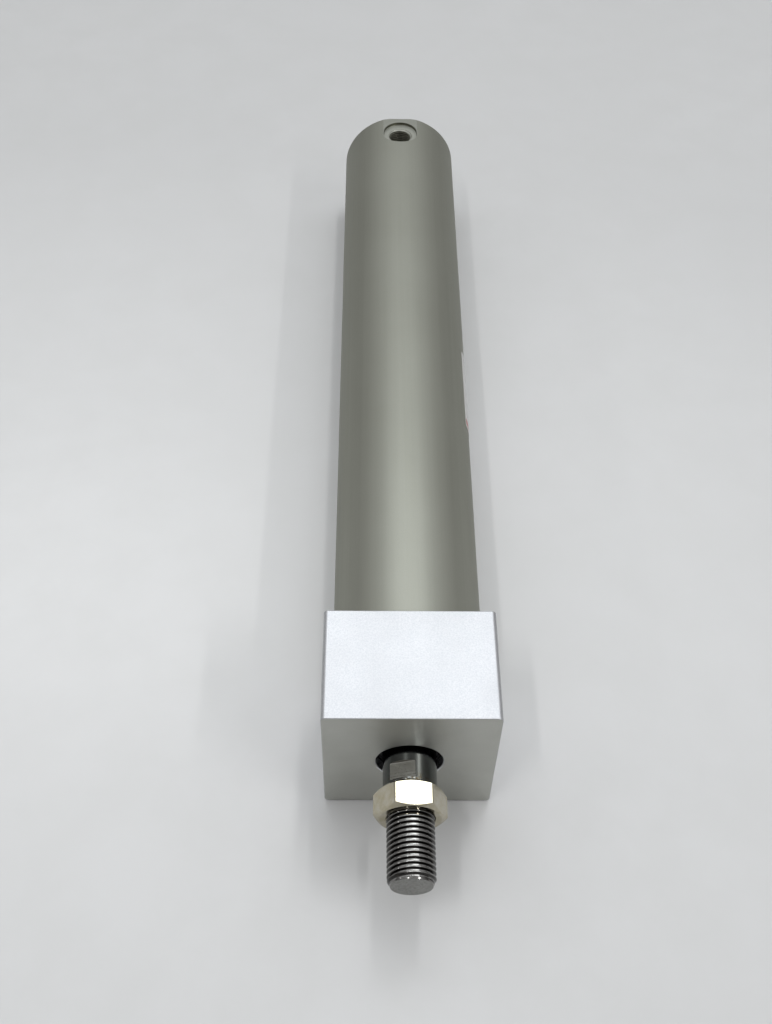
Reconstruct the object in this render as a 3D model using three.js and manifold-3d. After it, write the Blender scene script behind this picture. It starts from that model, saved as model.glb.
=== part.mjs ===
// Double-acting pneumatic cylinder, 40 mm bore, 200 mm stroke, with a round
// barrel closed at its rear end and a square direct-mount rod cover.
// Millimetres. +Z is up, the cylinder axis runs along Y and the rod leaves
// towards -Y. The origin is the centre of the rod cover's bottom face.

import * as THREE from 'three';
import { mergeVertices } from 'three/addons/utils/BufferGeometryUtils.js';
import Module from 'manifold-3d';

const wasm = await Module();
wasm.setup();

// ---------------------------------------------------------------- dimensions

const GAP = 0.3;               // clearance kept between neighbouring pieces

// rod cover: a square block with a spigot that enters the barrel
const COVER_W = 51.5;          // across X
const COVER_H = 51.5;          // across Z
const COVER_L = 36.5;          // along the axis
const COVER_EDGE_R = 1.0;      // rounding of the four lengthwise edges
const ROD_OPENING_D = 20;      // opening in the front face
const LIP_L = 3.5;             // depth of that opening before the seal bore
const SEAL_BORE_D = 24;
const SPIGOT_D = 42;
const SPIGOT_L = 10;

// barrel: tube and rear head in one piece
const TUBE_OD = 47;
const BORE_D = 40;
const BODY_L = 295.8;          // front face of the cover to rear face of the barrel
const COUNTERBORE_D = 42.8;    // receives the spigot
const HEAD_INNER = 277.7;      // depth of the inner face of the rear head
const POCKET_D = 23;           // pocket in the head for the rod tail and nut
const POCKET_END = 287.8;

// ports, 1/8 pipe thread, modelled at the tapping diameter
const PORT_D = 9.3;
const PORT_SPOT_D = 14.5;
const PORT_PASSAGE_D = 5;
const REAR_PORT_AT = 284.8;    // depth of the rear port's centre
const REAR_FLAT_R = 22.35;     // radius at which the rear flat is milled
const REAR_SPOT_R = 21.2;      // radius of the rear spot face's floor
const REAR_SPOT_RUN = 1.3;     // how far the rear spot face runs on towards the rear end
const REAR_PORT_BOTTOM_R = 12.7;
const FRONT_PORT_AT = 28;      // depth of the front port's centre
const FRONT_SPOT_DEPTH = 0.8;
const FRONT_PORT_DEPTH = 9;

// four blind tapped holes in the bottom of the rod cover, M6
const MOUNT_TAP_D = 5;
const MOUNT_TAP_DEPTH = 10;
const MOUNT_TAP_X = 36;        // spacing across
const MOUNT_TAP_Y = 24;        // spacing along the axis

// piston rod
const ROD_D = 16;
const THREAD_D = 14;           // M14 x 1.5
const ROD_TIP = -38;           // the front face of the cover is at depth 0
const ROD_SHOULDER = -9.7;
const FLAT_AF = 14;            // wrench flats
const FLAT_FROM = -8.7;
const FLAT_TO = -3.3;
const FLAT_TURN = 19;          // degrees from vertical towards -X
const ROD_STUD_D = 10;         // the rear end, which carries the piston
const ROD_TAIL = 283.2;

// lock nut on the rod end
const NUT_AF = 19;
const NUT_L = 8;
const NUT_AT = -18.2;          // depth of its front face
const NUT_TURN = -4.7;         // degrees its flats are turned about the axis, from one lying level

// piston
const STROKE = 200;
const PISTON_AT = 249.6;       // depth of its front face, rod retracted
const PISTON_L = 25;
const PISTON_D = BORE_D - 2 * GAP;

const AXIS_Z = COVER_H / 2;
const Y0 = -COVER_L / 2;       // where depth 0, the cover's front face, lies on Y

const FINE = 48;               // facets round the large pieces
const MID = 36;
const COARSE = 24;

// ------------------------------------------------------------------- helpers

// merges a geometry's vertices by position, drops empty triangles and turns
// the faces outwards
function closed(geometry) {
  let g = geometry.index ? geometry.clone() : geometry;
  for (const name of Object.keys(g.attributes)) if (name !== 'position') g.deleteAttribute(name);
  g = mergeVertices(g, 1e-4);
  const p = g.attributes.position, src = g.index.array, tri = [];
  let volume = 0;
  const a = new THREE.Vector3(), b = new THREE.Vector3(), c = new THREE.Vector3();
  for (let i = 0; i < src.length; i += 3) {
    const [i0, i1, i2] = [src[i], src[i + 1], src[i + 2]];
    if (i0 === i1 || i1 === i2 || i0 === i2) continue;
    tri.push(i0, i1, i2);
    a.fromBufferAttribute(p, i0); b.fromBufferAttribute(p, i1); c.fromBufferAttribute(p, i2);
    volume += a.dot(b.cross(c));
  }
  if (volume < 0) for (let i = 0; i < tri.length; i += 3) [tri[i + 1], tri[i + 2]] = [tri[i + 2], tri[i + 1]];
  g.setIndex(tri);
  return g;
}

const solid = (geometry) => {
  const g = closed(geometry);
  return new wasm.Manifold(new wasm.Mesh({
    numProp: 3,
    vertProperties: Float32Array.from(g.attributes.position.array),
    triVerts: Uint32Array.from(g.index.array),
  }));
};

function geometryOf(manifold) {
  const m = manifold.getMesh();
  const g = new THREE.BufferGeometry();
  g.setAttribute('position', new THREE.BufferAttribute(Float32Array.from(m.vertProperties), 3));
  g.setIndex(Array.from(m.triVerts));
  return g;
}

// solid or ring of revolution about the cylinder axis, from [radius, depth] pairs
function turned(profile, segments = FINE) {
  const pts = profile.map(([r, d]) => new THREE.Vector2(r, d + Y0));
  if (pts[0].x > 0 || pts[pts.length - 1].x > 0) pts.push(pts[0].clone());
  return new THREE.LatheGeometry(pts, segments).translate(0, 0, AXIS_Z);
}

// rectangular-section ring
const ring = (rIn, rOut, d0, d1, segments = COARSE) =>
  turned([[rIn, d0], [rOut, d0], [rOut, d1], [rIn, d1]], segments);

// ring of round section
function roundRing(rMid, rSection, dMid, segments = COARSE, sides = 6) {
  const profile = [];
  for (let i = 0; i < sides; i++) {
    const a = (2 * Math.PI * (i + 0.5)) / sides;
    profile.push([rMid + rSection * Math.cos(a), dMid + rSection * Math.sin(a)]);
  }
  return turned(profile, segments);
}

// outline in the XZ plane, centred on the axis, extruded from depth d0 to d1
function prism(points, d0, d1) {
  const shape = new THREE.Shape(points.map(([x, z]) => new THREE.Vector2(x, z)));
  return new THREE.ExtrudeGeometry(shape, { depth: d1 - d0, bevelEnabled: false, curveSegments: 1 })
    .rotateX(Math.PI / 2).translate(0, d1 + Y0, AXIS_Z);
}

function roundedRect(w, h, r, steps = 3) {
  const pts = [];
  for (const [cx, cz, a0] of [[1, 1, 0], [-1, 1, 90], [-1, -1, 180], [1, -1, 270]]) {
    for (let i = 0; i <= steps; i++) {
      const a = THREE.MathUtils.degToRad(a0 + (90 * i) / steps);
      pts.push([cx * (w / 2 - r) + r * Math.cos(a), cz * (h / 2 - r) + r * Math.sin(a)]);
    }
  }
  return pts;
}

function hexagon(af, turn = 0) {
  const r = af / Math.sqrt(3), pts = [];
  for (let i = 0; i < 6; i++) {
    const a = ((i * 60 + turn) * Math.PI) / 180;
    pts.push([r * Math.cos(a), r * Math.sin(a)]);
  }
  return pts;
}

// upright and sideways drills, placed by depth and by height above the axis
const drillZ = (d, x, depth, z0, z1, segments = COARSE) =>
  new THREE.CylinderGeometry(d / 2, d / 2, z1 - z0, segments)
    .rotateX(Math.PI / 2).translate(x, depth + Y0, AXIS_Z + (z0 + z1) / 2);
const drillX = (d, depth, x0, x1, segments = COARSE) =>
  new THREE.CylinderGeometry(d / 2, d / 2, x1 - x0, segments)
    .rotateZ(Math.PI / 2).translate((x0 + x1) / 2, depth + Y0, AXIS_Z);

function cut(body, ...tools) {
  let m = solid(body);
  for (const t of tools) m = m.subtract(solid(t));
  return m;
}

// -------------------------------------------------------------------- pieces

// barrel: drawn tube and rear head in one, with a flat, a spot face and a
// tapped port on top of the rear end
function barrelTube() {
  const r = TUBE_OD / 2, front = COVER_L + GAP, cb = COUNTERBORE_D / 2;
  const body = turned([
    [0, POCKET_END], [POCKET_D / 2, POCKET_END], [POCKET_D / 2, HEAD_INNER],
    [BORE_D / 2, HEAD_INNER], [BORE_D / 2, COVER_L + SPIGOT_L + 0.7],
    [cb, COVER_L + SPIGOT_L + 0.7], [cb, front], [r - 0.4, front], [r, front + 0.4],
    [r, BODY_L - 0.8], [r - 0.8, BODY_L], [0, BODY_L],
  ]);
  const half = (r, from, along) => Array.from({ length: 13 }, (_, i) => {
    const a = from + (Math.PI * i) / 12;
    return [r * Math.cos(a), along + r * Math.sin(a)];
  });
  const pocket = (outline, floor) => new THREE.ExtrudeGeometry(
    new THREE.Shape(outline.map(([x, y]) => new THREE.Vector2(x, y))), { depth: 6, bevelEnabled: false })
    .translate(0, REAR_PORT_AT + Y0, AXIS_Z + floor);
  const s = PORT_SPOT_D / 2;
  const flat = pocket([[s, 30], [-s, 30], ...half(s, Math.PI, 0)], REAR_FLAT_R);
  const spot = pocket([...half(s - 0.3, Math.PI, 0), ...half(s - 0.3, 0, REAR_SPOT_RUN)], REAR_SPOT_R);
  return geometryOf(cut(body,
    flat,
    spot,
    drillZ(PORT_D, 0, REAR_PORT_AT, REAR_PORT_BOTTOM_R, TUBE_OD / 2 + 3),
    drillZ(PORT_PASSAGE_D, 0, REAR_PORT_AT, POCKET_D / 2 - 2, TUBE_OD / 2 + 3, 12)));
}

// rod cover: square block and spigot, bored for the rod's guide and seals
function rodCover() {
  const block = solid(prism(roundedRect(COVER_W, COVER_H, COVER_EDGE_R), 0, COVER_L));
  const s = SPIGOT_D / 2, groove = 19.2;
  const spigot = solid(turned([
    [0, COVER_L - 4], [s, COVER_L - 4], [s, COVER_L + 6.5], [groove, COVER_L + 6.5],
    [groove, COVER_L + 9.1], [s, COVER_L + 9.1], [s, COVER_L + SPIGOT_L - 0.4],
    [s - 0.4, COVER_L + SPIGOT_L], [0, COVER_L + SPIGOT_L],
  ], MID));
  const o = ROD_OPENING_D / 2, b = SEAL_BORE_D / 2, end = COVER_L + SPIGOT_L + 2;
  const bore = solid(turned([
    [0, -2], [o + 2.3, -2], [o, 0.3], [o, LIP_L], [b, LIP_L], [b, 24.1], [b + 0.9, 24.1],
    [b + 0.9, 25.7], [b, 25.7], [b, end], [0, end],
  ], MID));
  const x = COVER_W / 2;
  let m = block.add(spigot).subtract(bore);
  m = m.subtract(solid(drillX(PORT_SPOT_D, FRONT_PORT_AT, x - FRONT_SPOT_DEPTH, x + 3)));
  m = m.subtract(solid(drillX(PORT_D, FRONT_PORT_AT, x - FRONT_PORT_DEPTH, x + 3)));
  m = m.subtract(solid(drillX(PORT_PASSAGE_D, FRONT_PORT_AT, b - 2, x + 3, 12)));
  for (const sx of [-1, 1]) for (const sy of [-1, 1]) {
    m = m.subtract(solid(drillZ(MOUNT_TAP_D, (sx * MOUNT_TAP_X) / 2, COVER_L / 2 + (sy * MOUNT_TAP_Y) / 2,
      -AXIS_Z - 2, -AXIS_Z + MOUNT_TAP_DEPTH, 12)));
  }
  return geometryOf(m);
}

// piston rod: threaded front end, two wrench flats, ground rod, and a reduced
// stud at the rear that carries the piston
function pistonRod() {
  const r = ROD_D / 2, t = THREAD_D / 2, s = ROD_STUD_D / 2;
  const body = turned([
    [0, ROD_TIP], [t - 1.0, ROD_TIP], [t, ROD_TIP + 1.0], [t, ROD_SHOULDER], [r - 0.4, ROD_SHOULDER],
    [r, ROD_SHOULDER + 0.4], [r, PISTON_AT - GAP], [s, PISTON_AT - GAP],
    [s, ROD_TAIL - 0.8], [s - 0.8, ROD_TAIL], [0, ROD_TAIL],
  ], MID);
  const length = FLAT_TO - FLAT_FROM, cuts = [];
  for (const side of [0, 180]) {
    cuts.push(new THREE.BoxGeometry(30, length, 10)
      .translate(0, (FLAT_FROM + FLAT_TO) / 2 + Y0, FLAT_AF / 2 + 5)
      .rotateY(THREE.MathUtils.degToRad(side - FLAT_TURN))
      .translate(0, 0, AXIS_Z));
  }
  return geometryOf(cut(body, ...cuts));
}

// hexagon nut chamfered on both faces
function nut(af, d0, d1, holeD, chamfer, turn = 0) {
  const corner = af / Math.sqrt(3), c = chamfer, mid = (d0 + d1) / 2;
  const hex = solid(prism(hexagon(af, turn), d0, d1));
  const barrel = solid(turned([
    [0, d0], [af / 2 - 0.2, d0], [corner + 0.3, d0 + c], [corner + 0.3, mid],
    [corner + 0.3, d1 - c], [af / 2 - 0.2, d1], [0, d1],
  ], COARSE));
  return geometryOf(hex.intersect(barrel).subtract(solid(turned([
    [0, d0 - 1], [holeD / 2 + 1.3, d0 - 1], [holeD / 2, d0 + 0.4], [holeD / 2, d1 - 0.4],
    [holeD / 2 + 1.3, d1 + 1], [0, d1 + 1],
  ], COARSE))));
}

// piston: bored for the rod's stud, with a groove in that bore for the gasket
// and three outer grooves for the seal, the magnet and the wear ring
const SEAL_GROOVE = [252.6, 257.4, 15.2];
const MAGNET_GROOVE = [260.2, 265.8, 15.2];
const WEAR_GROOVE = [267.4, 272.6, 17.6];
function piston() {
  const r = PISTON_D / 2, end = PISTON_AT + PISTON_L, b = ROD_STUD_D / 2 + GAP;
  const profile = [[b, PISTON_AT], [r - 0.6, PISTON_AT], [r, PISTON_AT + 0.6]];
  for (const [a, c, depth] of [SEAL_GROOVE, MAGNET_GROOVE, WEAR_GROOVE]) {
    profile.push([r, a], [depth, a], [depth, c], [r, c]);
  }
  profile.push([r, end - 0.6], [r - 0.6, end], [b, end],
    [b, 255.8], [b + 2.0, 255.8], [b + 2.0, 253.0], [b, 253.0]);
  return turned(profile, MID);
}

// inner retaining ring, open at one side
function retainingRing() {
  return geometryOf(cut(ring(10.2, 12.6, 24.4, 25.4),
    new THREE.BoxGeometry(7, 6, 6).translate(0, 24.9 + Y0, AXIS_Z - 11.5)));
}

// thin curved plate that lies on the barrel's +X side
function idLabel() {
  const a0 = -35, a1 = 21, steps = 8, r0 = TUBE_OD / 2 + GAP, r1 = r0 + 0.3, pts = [];
  for (let i = 0; i <= steps; i++) {
    const a = THREE.MathUtils.degToRad(a0 + ((a1 - a0) * i) / steps);
    pts.push([r1 * Math.cos(a), r1 * Math.sin(a)]);
  }
  for (let i = steps; i >= 0; i--) {
    const a = THREE.MathUtils.degToRad(a0 + ((a1 - a0) * i) / steps);
    pts.push([r0 * Math.cos(a), r0 * Math.sin(a)]);
  }
  return prism(pts, 128, 166);
}

// ------------------------------------------------------------------ assembly

const finish = (color, roughness, metalness) => new THREE.MeshStandardMaterial({ color, roughness, metalness });
const anodised = () => finish(0x8f9084, 0.5, 0.6);
const machined = () => finish(0xd9dce2, 0.4, 0.9);
const chromed = () => finish(0x6c6d6c, 0.15, 1.0);
const nickel = () => finish(0xa59b8c, 0.25, 1.0);
const steel = () => finish(0x77787a, 0.35, 0.9);
const rubber = () => finish(0x17181a, 0.7, 0.0);

const group = new THREE.Group();
function place(name, geometry, material) {
  const g = closed(geometry);
  g.computeVertexNormals();
  const mesh = new THREE.Mesh(g, material);
  mesh.name = name;
  group.add(mesh);
}

const rodClear = ROD_D / 2 + 0.25, seat = SEAL_BORE_D / 2 - GAP;

place('barrel_tube', barrelTube(), anodised());
place('rod_cover', rodCover(), machined());
place('rod_wiper', turned([
  [rodClear, 3.8], [9.4, 3.8], [9.4, 4.6], [seat, 4.6], [seat, 7.2], [rodClear + 0.9, 7.2], [rodClear + 0.9, 5.4],
], COARSE), rubber());
place('rod_seal', turned([
  [rodClear, 7.5], [seat, 7.5], [seat, 11.9], [10.6, 11.9], [10.0, 9.6], [9.4, 11.9], [rodClear, 11.9],
], COARSE), rubber());
place('seal_retainer', ring(rodClear + 0.1, seat, 12.2, 13.7), steel());
place('rod_bushing', ring(rodClear, seat, 14.1, 24.0), finish(0xa67c45, 0.4, 0.9));
place('retaining_ring', retainingRing(), steel());
place('tube_gasket', roundRing(20.3, 0.85, 44.3), rubber());
place('front_bumper', ring(13, 19.6, 46.9, 49.3), rubber());
place('rear_bumper', ring(12.6, 19.6, 274.9, 277.4), rubber());
place('id_label', idLabel(), finish(0xe6e6e4, 0.5, 0.0));

place('piston_seal', turned([
  [15.5, 252.9], [19.4, 252.9], [19.7, 253.6], [19.2, 255.0], [19.7, 256.4], [19.4, 257.1], [15.5, 257.1],
], COARSE), rubber());
place('wear_ring', ring(17.9, 19.7, 267.7, 272.3), finish(0x3c3a36, 0.5, 0.0));

place('piston', piston(), machined());
place('piston_magnet', ring(15.5, 19.4, 260.5, 265.5), finish(0x2a2a2c, 0.6, 0.2));
place('piston_gasket', roundRing(6.15, 0.75, 254.4), rubber());
place('piston_washer', ring(ROD_STUD_D / 2 + GAP, 9.5, 274.9, 276.4), steel());
place('piston_nut', nut(17, 276.7, 281.7, ROD_STUD_D + 2 * GAP, 1.0), steel());
place('piston_rod', pistonRod(), chromed());
place('rod_end_nut', nut(NUT_AF, NUT_AT, NUT_AT + NUT_L, THREAD_D + 2 * GAP, 1.1, NUT_TURN), nickel());

export default group;
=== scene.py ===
import math

import bmesh
import bpy
import numpy as np
from mathutils import Matrix, Vector


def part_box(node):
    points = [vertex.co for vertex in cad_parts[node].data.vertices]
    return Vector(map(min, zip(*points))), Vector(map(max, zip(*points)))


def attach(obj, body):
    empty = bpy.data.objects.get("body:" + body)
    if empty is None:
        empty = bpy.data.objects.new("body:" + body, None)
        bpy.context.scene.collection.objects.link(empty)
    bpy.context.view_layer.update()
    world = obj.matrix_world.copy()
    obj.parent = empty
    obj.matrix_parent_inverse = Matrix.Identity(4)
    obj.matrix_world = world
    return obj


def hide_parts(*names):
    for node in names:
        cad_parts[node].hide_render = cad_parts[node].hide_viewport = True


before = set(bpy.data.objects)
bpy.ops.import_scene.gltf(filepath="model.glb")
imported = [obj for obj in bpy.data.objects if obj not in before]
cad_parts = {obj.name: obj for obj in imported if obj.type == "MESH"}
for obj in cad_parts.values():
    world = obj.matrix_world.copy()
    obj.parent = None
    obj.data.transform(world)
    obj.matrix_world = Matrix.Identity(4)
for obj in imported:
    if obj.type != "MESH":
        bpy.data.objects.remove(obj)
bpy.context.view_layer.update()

# ----------------------------------------------------------------- the frame
# Shapes below are written in millimetres as (x, depth, height): depth runs
# along the cylinder axis from the cover's front face towards the closed end,
# height is above the axis.

cover_lo, cover_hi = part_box("rod_cover")
tube_lo, tube_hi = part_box("barrel_tube")
rod_lo, rod_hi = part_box("piston_rod")
nut_lo, nut_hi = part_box("rod_end_nut")
label_lo, label_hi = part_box("id_label")
Y0 = cover_lo[1]
AZ = (cover_lo[2] + cover_hi[2]) / 2
TO_FRAME = Matrix.Translation((0, Y0, AZ)) @ Matrix.Scale(0.001, 4)


def depth_of(y):
    return (y - Y0) * 1000


COVER_W = (cover_hi[0] - cover_lo[0]) * 1000
COVER_L = 36.5
TUBE_R = (tube_hi[0] - tube_lo[0]) * 500
BODY_END = depth_of(tube_hi[1])
ROD_TIP = depth_of(rod_lo[1])
ROD_TAIL = depth_of(rod_hi[1])
NUT_0, NUT_1 = depth_of(nut_lo[1]), depth_of(nut_hi[1])
REAR_PORT = BODY_END - 11.0
FRONT_PORT = 28.0
FINE = 128

scene = bpy.context.scene

# ------------------------------------------------------------ mesh utilities


def rounded(points, n=5):
    """A profile of (a, b[, radius]) with an arc of that radius at each corner that has one."""
    out, m = [], len(points)
    for i, p in enumerate(points):
        r = p[2] if len(p) > 2 else 0
        here = Vector(p[:2])
        if r <= 0:
            out.append(tuple(here))
            continue
        before, after = Vector(points[i - 1][:2]), Vector(points[(i + 1) % m][:2])
        u, v = (before - here), (after - here)
        lu, lv = u.length, v.length
        u.normalize()
        v.normalize()
        angle = math.acos(max(-1, min(1, u.dot(v))))
        t = min(r / math.tan(angle / 2), 0.49 * lu, 0.49 * lv)
        r = t * math.tan(angle / 2)
        mid = (u + v).normalized()
        centre = here + mid * (r / math.sin(angle / 2))
        a, b = here + u * t - centre, here + v * t - centre
        turn = math.atan2(a.x * b.y - a.y * b.x, a.dot(b))
        for k in range(n + 1):
            w = turn * k / n
            c, s = math.cos(w), math.sin(w)
            out.append((centre.x + a.x * c - a.y * s, centre.y + a.x * s + a.y * c))
    return out


def dense(profile, step):
    """The profile with long straight runs divided, so that no face is longer than step."""
    out = []
    m = len(profile)
    closed_on_axis = profile[0][0] < 1e-6 and profile[-1][0] < 1e-6
    for i, p in enumerate(profile):
        out.append(p)
        if i == m - 1 and closed_on_axis:
            break
        q = profile[(i + 1) % m]
        k = int(math.hypot(q[0] - p[0], q[1] - p[1]) // step)
        for j in range(1, k + 1):
            out.append((p[0] + (q[0] - p[0]) * j / (k + 1), p[1] + (q[1] - p[1]) * j / (k + 1)))
    return out


def lathe(bm, profile, segs=FINE, open_ends=False):
    """Surface of revolution about local +Y from (radius, y) pairs. A profile that doesn't end on the axis closes on itself, unless open_ends."""
    rings = []
    for r, y in profile:
        if r < 1e-6:
            rings.append([bm.verts.new((0, y, 0))])
        else:
            rings.append(
                [
                    bm.verts.new(
                        (
                            r * math.sin(2 * math.pi * j / segs),
                            y,
                            r * math.cos(2 * math.pi * j / segs),
                        )
                    )
                    for j in range(segs)
                ]
            )
    pairs = list(zip(rings, rings[1:]))
    if not open_ends and len(rings[0]) > 1 and len(rings[-1]) > 1:
        pairs.append((rings[-1], rings[0]))
    for a, b in pairs:
        if len(a) == 1 and len(b) == 1:
            continue
        for j in range(segs):
            k = (j + 1) % segs
            if len(a) == 1:
                bm.faces.new((a[0], b[k], b[j]))
            elif len(b) == 1:
                bm.faces.new((a[j], a[k], b[0]))
            else:
                bm.faces.new((a[j], a[k], b[k], b[j]))
    return rings


# one pitch of a 60 degree thread, as (fraction of the pitch, height of the flank)
THREAD_FORM = [
    (-0.105, 0.975),
    (-0.050, 1.0),
    (0.050, 1.0),
    (0.105, 0.975),
    (0.150, 0.90),
    (0.355, 0.12),
    (0.405, 0.0),
    (0.595, 0.0),
    (0.645, 0.12),
    (0.850, 0.90),
]


def thread(bm, y0, y1, pitch, root, crest, limit=None, floor=None, segs=FINE, start=0.0):
    """A right-handed helical thread about local +Y between y0 and y1. limit and floor are (y, radius) tables that cap it from above and from below, so that both ends are plain circles."""
    s = len(THREAD_FORM)
    turns = int(math.ceil((y1 - y0) / pitch)) + 3
    zs = y0 - 2 * pitch + (start % 1.0) * pitch
    cols = []
    for j in range(segs):
        a = 2 * math.pi * j / segs
        col = []
        for i in range(turns * s + s):
            u, h = THREAD_FORM[i % s]
            y = zs + (i // s + u) * pitch + pitch * j / segs
            y = min(max(y, y0), y1)
            r = root + (crest - root) * h
            if limit:
                r = min(r, float(np.interp(y, [p[0] for p in limit], [p[1] for p in limit])))
            if floor:
                r = max(r, float(np.interp(y, [p[0] for p in floor], [p[1] for p in floor])))
            col.append(bm.verts.new((r * math.sin(a), y, r * math.cos(a))))
        cols.append(col)
    n = len(cols[0])
    for j in range(segs):
        k, off = (j + 1, 0) if j + 1 < segs else (0, s)
        for i in range(n - 1 - off):
            bm.faces.new((cols[j][i], cols[k][i + off], cols[k][i + off + 1], cols[j][i + 1]))


def tidy(bm, dist=2e-4):
    bmesh.ops.remove_doubles(bm, verts=bm.verts[:], dist=dist)
    bmesh.ops.dissolve_degenerate(bm, edges=bm.edges[:], dist=1e-5)
    loose = [v for v in bm.verts if not v.link_faces]
    if loose:
        bmesh.ops.delete(bm, geom=loose, context="VERTS")
    border = [e for e in bm.edges if len(e.link_faces) == 1]
    if border:
        bmesh.ops.holes_fill(bm, edges=border, sides=0)
    bmesh.ops.recalc_face_normals(bm, faces=bm.faces[:])


def obj_from(name, bm, place=None, link=True):
    """A new object from a bmesh in millimetres. place puts local +Y somewhere else first."""
    tidy(bm)
    if place is not None:
        bm.transform(place)
    me = bpy.data.meshes.new(name)
    bm.to_mesh(me)
    bm.free()
    o = bpy.data.objects.new(name, me)
    if link:
        scene.collection.objects.link(o)
    return o


def upright(depth):
    """Local +Y becomes height, at that depth on the axis."""
    return Matrix.Translation((0, depth, 0)) @ Matrix.Rotation(math.radians(90), 4, "X")


def sideways(depth):
    """Local +Y becomes +x, at that depth on the axis."""
    return Matrix.Translation((0, depth, 0)) @ Matrix.Rotation(math.radians(-90), 4, "Z")


def applied(o):
    dg = bpy.context.evaluated_depsgraph_get()
    me = bpy.data.meshes.new_from_object(o.evaluated_get(dg), depsgraph=dg)
    o.modifiers.clear()
    old, o.data = o.data, me
    me.name = o.name
    bpy.data.meshes.remove(old)
    return o


def boolean(o, tool, how="DIFFERENCE"):
    m = o.modifiers.new(how, "BOOLEAN")
    m.operation, m.object, m.solver = how, tool, "EXACT"
    applied(o)
    me = tool.data
    bpy.data.objects.remove(tool)
    bpy.data.meshes.remove(me)
    return o


def bevelled(o, width, angle=35, segments=2):
    m = o.modifiers.new("edge", "BEVEL")
    m.width, m.segments, m.limit_method = width, segments, "ANGLE"
    m.angle_limit = math.radians(angle)
    m.use_clamp_overlap = True
    m.miter_outer = "MITER_ARC"
    return applied(o)


def finished(o, smooth=32):
    """Cleans the mesh, moves it from millimetres into the frame, and shades it smooth up to that angle."""
    bm = bmesh.new()
    bm.from_mesh(o.data)
    bmesh.ops.remove_doubles(bm, verts=bm.verts[:], dist=5e-4)
    bmesh.ops.dissolve_degenerate(bm, edges=bm.edges[:], dist=1e-4)
    bmesh.ops.recalc_face_normals(bm, faces=bm.faces[:])
    bm.transform(TO_FRAME)
    bm.to_mesh(o.data)
    bm.free()
    o.data.polygons.foreach_set("use_smooth", [True] * len(o.data.polygons))
    o.data.set_sharp_from_angle(angle=math.radians(smooth))
    o.data.update()
    return o


def weighted(o):
    m = o.modifiers.new("normals", "WEIGHTED_NORMAL")
    m.keep_sharp, m.weight = True, 60
    return o


# ----------------------------------------------------------------- materials


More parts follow.
